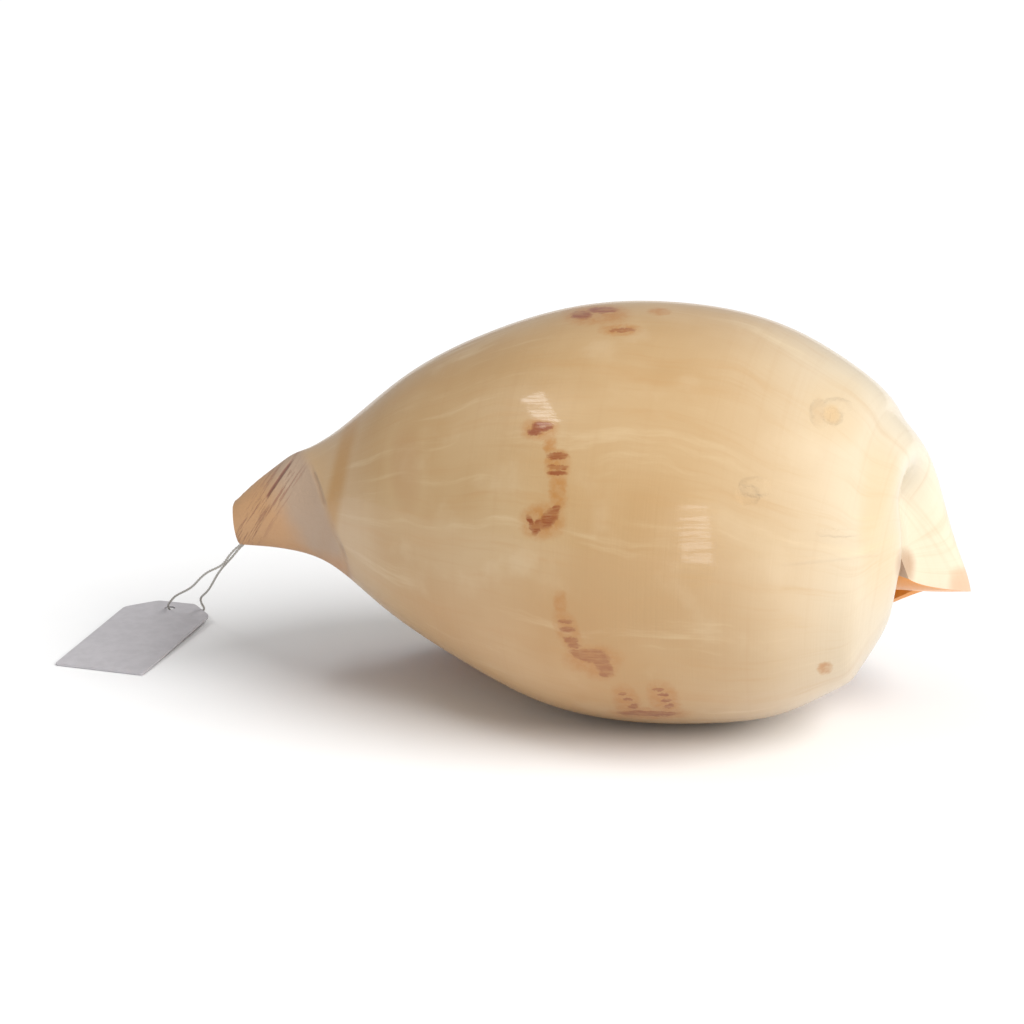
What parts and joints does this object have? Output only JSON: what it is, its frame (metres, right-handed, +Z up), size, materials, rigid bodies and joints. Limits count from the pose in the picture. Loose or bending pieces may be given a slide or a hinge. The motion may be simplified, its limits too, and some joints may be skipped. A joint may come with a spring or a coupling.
{
  "type": "melon shell",
  "caption": "Large egg-shaped melon sea shell lying mouth down, with a wide smooth whorl, a narrow siphon end and a small paper tag on a cotton thread.",
  "frame": {"origin": "centre of the shell's footprint box, on the surface it rests on", "axes": "+Z up, +X along the shell from the siphon end to the wide end, +Y across it to the side of the outer lip"},
  "size_m": [0.3332, 0.1639, 0.1458],
  "materials": {
    "shell_enamel": "smooth glossy natural enamel, cream to ochre, with faint growth streaks and a few brown marks; orange inside",
    "tag_card": "matte grey-lilac card",
    "cotton_thread": "matte pale cotton"
  },
  "bodies": {
    "root": {"shell": "shell_enamel", "tag": "tag_card", "tag_thread": "cotton_thread", "thread_knot": "cotton_thread"}
  },
  "joints": []
}
